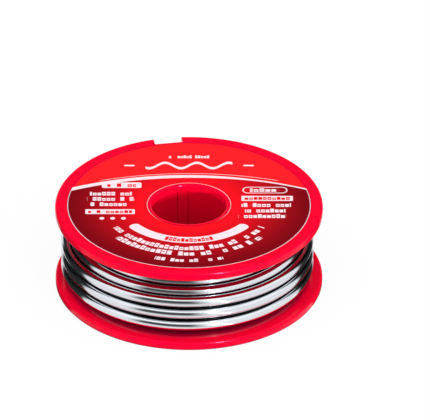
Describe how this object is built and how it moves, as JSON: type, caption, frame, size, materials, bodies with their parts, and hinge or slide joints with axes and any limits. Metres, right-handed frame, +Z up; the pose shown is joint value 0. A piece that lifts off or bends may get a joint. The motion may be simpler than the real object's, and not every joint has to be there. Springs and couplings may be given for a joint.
{
  "type": "solder wire spool",
  "caption": "Small round spool of flux-cored solder wire: two snapped flanges, a labelled face, a plain spindle bore and wire wound in nested layers.",
  "frame": {"origin": "centre of the lower flange's outer face, on the spool's axis", "axes": "+Z up along the spool's axis; -Y faces the viewer, with the rim notch near +Y"},
  "size_m": [0.05, 0.05, 0.0166],
  "materials": {
    "red_plastic": "moulded polystyrene, glossy",
    "printed_label": "printed film label, satin",
    "plain_label": "plain paper label, matt",
    "solder": "bright drawn tin alloy",
    "flux": "amber rosin"
  },
  "bodies": {
    "root": {"upper_flange": "red_plastic", "lower_flange": "red_plastic", "face_label": "printed_label", "base_label": "plain_label", "wound_core": "solder", "solder_wire": "solder", "flux_core": "flux"}
  },
  "joints": []
}
